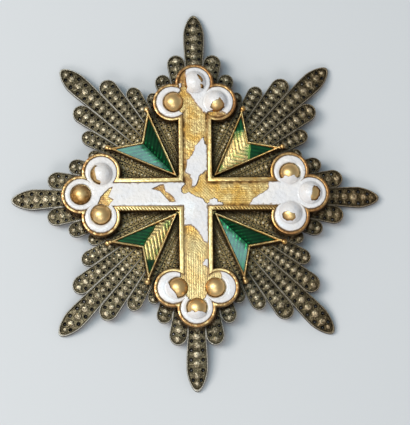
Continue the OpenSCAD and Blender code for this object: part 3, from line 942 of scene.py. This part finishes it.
# The rims under the side arms are milled like a cord, and the one over the right arm is dashed.
low_rim = band(y, -2.9, -3.1) * band(y, -4.0, -3.8) * band(abs(x), 3.9, 4.3) * band(far, 19.0, 17.5)
milled_wave = ((y * 0.9 + x) * (2 * math.pi / milled_step)).math("SINE")
milled = low_rim * band(inset, 0.8, 0.7) * band(milled_wave, -0.2, 0.4)
high_rim = band(y, 2.0, 2.4) * band(y, 4.5, 4.0) * band(x, 4.2, 4.8) * band(x, 15.0, 13.0)
dash_wave = (noise(place, 0.8) * 4.0 + x * (2 * math.pi / dash_step)).math("SINE")
dashes = high_rim * band(inset, 0.48, 0.56) * band(inset, 0.80, 0.72) * band(dash_wave, -0.6, 0.2)
film_and_shade = most(film_and_shade, milled * 0.85, dashes * 0.6)
thin = band(far, 15.0, 20.0) * band(inset, 0.85, 0.7) * (patches * -0.4 + 0.9)
for stain_x, stain_y, spread in stains:
    stain = band(gap_to(x, y, stain_x, stain_y), spread, 0.35 * spread) * (spots * 0.35 + 0.6)
    thin = most(thin, stain)
gold, roughness, height = gilding(place, film_and_shade, most(lines, milled), thin)
# Painted light: the top of the rim is painted paler, more so towards the left.
lit_rim_top = band(z, white_top - 0.15, white_top - 0.05) * band(film_and_shade, 0.4, 0.0) * lit_from_left(x, y, 14.0, -4.0)
colour = tint(lit_rim_top * 0.85, gold, (1.0, 0.70, 0.32))
colour = tint(on_floor * band(y, -7.0, -11.0) * 0.6, colour, (0.56, 0.385, 0.19))
finish(white_gilt, height, 0.05, Base_Color=colour, Roughness=roughness)
settle(white_frame, "white_cross", "gilt_metal", white_gilt, "white_cross_frame")

# The gilt domes: twelve half balls, three in the lobes of each arm, pressed from
# sheet and soldered to the floor.
dome_ball, dome_centre, dome_foot = 2.3, 7.5, white_floor + 0.04
dome_sides, dome_rows = 40, 24
dome_aside = {"e": 4.65, "n": 4.9, "w": 4.7, "s": 4.2}


def dome_place(arm_name, lobe_name):
    along, share = lobes[lobe_name]
    turn = Matrix.Rotation(math.radians(arm_turns[arm_name]), 2)
    return turn @ Vector((along, share * dome_aside[arm_name]))


dome_gilt, place = new_material("gilt_domes", Metallic=1.0)
x, y, z = axes(place)
patches, spots, grain = metal_age(place)
# Painted shade and light: each dome is painted darker towards its foot and paler above it.
foot_shade = band(z, dome_centre + 1.4, dome_centre + 0.4) * (spots * 0.4 + 0.6)
browned = band(x, -22.0, -24.5) * band(z, dome_centre + 2.9, dome_centre + 1.1) * (spots * 0.4 + 0.42)
film_and_shade = most(foot_shade, browned)
gold, roughness, height = gilding(place, film_and_shade, 0.0, 0.0)
colour = tint(band(film_and_shade, 0.5, 0.1) * 0.5, gold, (0.95, 0.76, 0.40))
finish(dome_gilt, height, 0.03, Base_Color=colour, Roughness=roughness + 0.12)
for arm_name in arm_turns:
    for lobe_name in lobes:
        dome = ball(dome_ball, dome_place(arm_name, lobe_name), dome_centre, dome_sides, dome_rows)
        cut_off(dome, (0, 0, dome_foot), (0, 0, -1))
        name = "dome_" + arm_name + "_" + lobe_name
        settle(dome, "gilt_" + name, "gilt_metal", dome_gilt, name)

# The white enamel: a cushion of opaque glass in the cell, broken in seven pieces.
# It runs up over some of the domes and stands as rings round the others.
enamel_foot, enamel_top, enamel_gap = white_floor + 0.04, white_top + 0.05, 0.04
cell_inset = white_rim + enamel_gap
ring_radius, coat_in, coat_out = 2.36, 2.34, 2.58
# Columns: inset from the cell, or radius, and height from the top of the enamel.
cushion_levels = [(0, enamel_foot)] + heights_from(enamel_top, [(0, -0.17), (0.05, -0.07), (0.2, 0)])
ring_rings = [(ring_radius, below_all)] + heights_from(
    enamel_top, [(ring_radius, -0.15), (ring_radius + 0.08, -0.05), (ring_radius + 0.3, 0.05)])
coat_rings = heights_from(
    enamel_top, [(2.95, -0.15), (2.95, 0.01), (2.72, 0.06), (2.57, 0.18), (2.47, 0.35), (2.36, 0.51)])
for degrees in range(30, 90, 8):
    angle = math.radians(degrees)
    coat_rings.append((coat_out * math.cos(angle), dome_centre + coat_out * math.sin(angle)))
white_jags, coat_jags, chip_jags = (0.15, 0.12, 0.06), (0.1, 0.07, 0.04), (0.06, 0.05, 0.03)
white_break = [(-0.12, 0), (-0.12, enamel_foot), (0.12, enamel_top), (0.12, above_all)]
chip_break = [(0.1, 0), (0.1, enamel_foot), (-0.1, enamel_top), (-0.1, above_all)]
white_pieces = {
    "n_stem": [(1.7, 13.3), (0.8, 12.1), (-0.1, 11.2), (-0.8, 8.9), (-2.1, 7.7), (-2.4, 4.9), (-1.2, 4.5),
               (-1, 3.1), (-0.7, 1.7), (0.2, 2.0), (1, 4.2), (2.1, 5.2), (4, 5.4), (4, 10), (2.4, 11.7)],
    "n_tip": [(-2, 32), (-2.1, 27), (-1.7, 24.2), (0.2, 21.4), (2, 19), (3, 19), (5, 19.8), (7, 18.9),
              (8, 18.5), (12, 18.6), (12, 32)],
    "n_ring": [(-3.8, 15), (-3.8, 17.6), (-2.7, 18.6), (-3.8, 19.8), (-6.5, 21), (-4.9, 23.2), (-3.3, 24),
               (-2.9, 26), (-12, 26), (-12, 15)],
    "w_and_s": [(-3.2, 4), (-6, 12), (-32, 12), (-32, -12), (-6, -12), (-4, -4), (-4, -7.2), (-1.5, -7.2),
                (-0.3, -7.9), (0.6, -8.8), (1, -9.7), (1.7, -10.9), (4, -11.6), (4, -4), (6, -4), (6.1, -2.1),
                (5.2, -1.8), (4.4, -0.9), (3.3, -1.3), (2.6, -2.2), (1.7, -1.6), (0.9, -0.7), (0, -0.5),
                (-1.2, 0.2), (-2.6, 0.1), (-3.3, 0.6), (-2.6, 2.3)],
    "e_tip": [(17, 12), (16.8, 3), (16.4, 1.2), (15, 0), (12.8, -1.4), (12.3, -2.4), (12.3, -12), (32, -12),
              (32, 12)],
    "s_tip": [(-12, -15), (-12, -32), (12, -32), (12, -15), (5.4, -15), (5.4, -19), (4.4, -21), (2.4, -22.6),
              (1.9, -24), (0, -25), (-1.9, -24), (-2.6, -22.8), (-4.4, -21), (-3.7, -19), (-3.4, -15)],
    "s_crumb": [(1.7, -15.2), (1.5, -16.4), (2.4, -17), (4, -16.6), (4, -14.9)],
}
# Holes that are chipped through a piece.
chips = {
    "w_and_s": [
        [(-9.8, 1.2), (-8, 0.7), (-6.9, -0.7), (-6, -1.8), (-4.6, -1.8), (-5.1, -0.7), (-6.9, 0.7),
         (-7.3, 2.1), (-8, 2.1)],
        [(-22.2, -2.2), (-19.8, -2.6), (-18.7, -1.2), (-20, -0.7), (-19, 1.6), (-19.7, 1.4), (-21.6, -0.5)],
    ],
    "n_tip": [
        [(0.7, 27.6), (1.3, 27.3), (1.9, 26.4), (1.7, 25.9), (1.1, 26.6)],
        [(1.4, 25.4), (2, 25.3), (2.1, 24.7), (1.5, 24.6)],
    ],
}
# The domes that a piece runs up over, each with the outline where its gold is bare.
coats = {
    "n_tip": {
        ("n", "end"): [],
        ("n", "right"): [(3.5, 20), (4.1, 21.1), (5, 21.5), (5.7, 22), (6.5, 21.3), (6.9, 20.2), (6, 19.2),
                         (4.6, 19.1)],
    },
    "w_and_s": {
        ("w", "right"): [(-22.3, 6.5), (-22.9, 5.5), (-22.8, 4.4), (-22.4, 3.4), (-21.6, 2.7), (-21.8, 1.8),
                         (-23.4, 2.3), (-24.4, 4), (-24.4, 5.8), (-23.2, 7)],
    },
    "e_tip": {
        ("e", "left"): [(18.6, 3.6), (19.8, 3.3), (20.4, 3.8), (21.2, 3.4), (22.3, 3.8), (23.2, 3.2),
                        (24.4, 3.8), (24.6, 8), (18.4, 8)],
        ("e", "end"): [(26.7, 1.5), (27.6, 1.4), (28.3, 0.5), (28.2, -0.9), (27.3, -2), (26.3, -2),
                       (25.9, -1.3), (26.4, -0.5), (26.4, 0.5)],
        ("e", "right"): [(19.5, -4.9), (20.4, -4.5), (21.3, -4.8), (22.3, -5.1), (22.6, -5.8), (21.9, -6.6),
                         (20.6, -6.6), (19.7, -5.9)],
    },
    "s_tip": {
        ("s", "end"): [(-3.6, -22), (-3.6, -26.6), (-2.2, -27.3), (-1.2, -26.9), (-0.3, -27.4), (0.9, -27.1),
                       (2.2, -27.5), (3.6, -26.6), (3.6, -22)],
        ("s", "right"): [(-7.4, -17.6), (-6.3, -21), (-5.6, -22.2), (-4.8, -23), (-4, -24.8), (0, -24.8),
                         (0, -17.6)],
    },
}
white_glass, place = new_material("white_enamel", Coat_Weight=0.5, Coat_Roughness=0.08)
x, y, z = axes(place)
far, near, upright = folded(place)
inset, ring, green = cross_parts(far, near)
patches, spots, grain = metal_age(place)
# Painted shade: a grey ring round each dome, where the enamel dips; it is also bumped.
ring_groove_shade = band(ring, 2.45, 2.62) * band(ring, 2.95, 2.72)
specks = band(noise(place, 2.6, 3.0), 0.60, 0.70)
# Dirt and painted shade: the border of the enamel, its walls and the sides of its breaks are painted brown.
border_dirt_and_shade = band(noise(place, 1.4, 3.0) * 0.9 + inset - 0.45, 0.92, 0.74) * 0.8
under_top = band(z, enamel_top + 0.02, enamel_top - 0.01)
low_edge = band(facing_up(place.tree), 0.96, 0.90) * under_top * (spots * 0.4 + 0.6)
colour = tint(patches, (0.785, 0.755, 0.757), (0.845, 0.79, 0.757))
colour = tint(specks * 0.5, colour, (0.60, 0.55, 0.46))
colour = tint(ring_groove_shade * 0.22, colour, (0.45, 0.44, 0.42))
colour = tint(most(border_dirt_and_shade, low_edge, upright), colour, (0.30, 0.205, 0.12))
bumps = ring_groove_shade * -0.6 + grain * 0.4 + spots
finish(white_glass, bumps, 0.05, Base_Color=colour, Roughness=grain * 0.3 + 0.25)

cushion = raised("cushion", lambda inset: trefoil_outline(cell_inset + inset), cushion_levels)
for arm_name in arm_turns:
    for lobe_name in lobes:
        opening = stepped_plug("opening", dome_sides, dome_place(arm_name, lobe_name), ring_rings)
        combine(cushion, opening, "DIFFERENCE")
for seed, (name, outline) in enumerate(white_pieces.items()):
    piece = copy_of(cushion)
    for dome, bare in coats.get(name, {}).items():
        seat = dome_place(*dome)
        coat = stepped_plug("coat", dome_sides, seat, coat_rings)
        combine(coat, ball(coat_in, seat, dome_centre, dome_sides, dome_rows), "DIFFERENCE")
        if bare:
            break_off(coat, bare, coat_jags, seed, [(0, 0), (0, above_all)], "DIFFERENCE")
        in_cell = raised("cell", lambda inset: trefoil_outline(cell_inset),
                         [(0, enamel_foot), (0, above_all)])
        combine(coat, in_cell, "INTERSECT")
        combine(piece, coat, "UNION")
    break_off(piece, outline, white_jags, seed, white_break, "INTERSECT")
    for chip in chips.get(name, []):
        break_off(piece, chip, chip_jags, seed, chip_break, "DIFFERENCE")
    settle(piece, "white_glass_" + name, "white_enamel", white_glass, "white_enamel_" + name)
bpy.data.objects.remove(cushion)

# The back plate, a plain silver disc that the rays are riveted to, and the pin soldered
# on it, lie under the star and keep their simple shapes.
plain_silver, place = new_material("plain_silver")
x, y, z = axes(place)
patches, spots, grain = metal_age(place)
turned = (noise(place, 0.6) * 5.0 + gap_to(x, y, 0, 0) * 14.0).math("SINE")
turned_lines = band(turned, 0.2, 1.0)
colour = tint(patches, (0.26, 0.24, 0.20), (0.50, 0.48, 0.43))
colour = tint(spots * 0.6, colour, (0.16, 0.13, 0.09))
colour = tint(turned_lines * 0.25, colour, (0.12, 0.10, 0.08))
finish(plain_silver, turned_lines * -0.4 + spots, 0.03, Base_Color=colour, Roughness=grain * 0.25 + 0.28,
       Metallic=spots * -0.15 + 1.0)
for name in ("back_plate", "brooch_pin"):
    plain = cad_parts[name]
    plain.data.materials.clear()
    plain.data.materials.append(plain_silver)
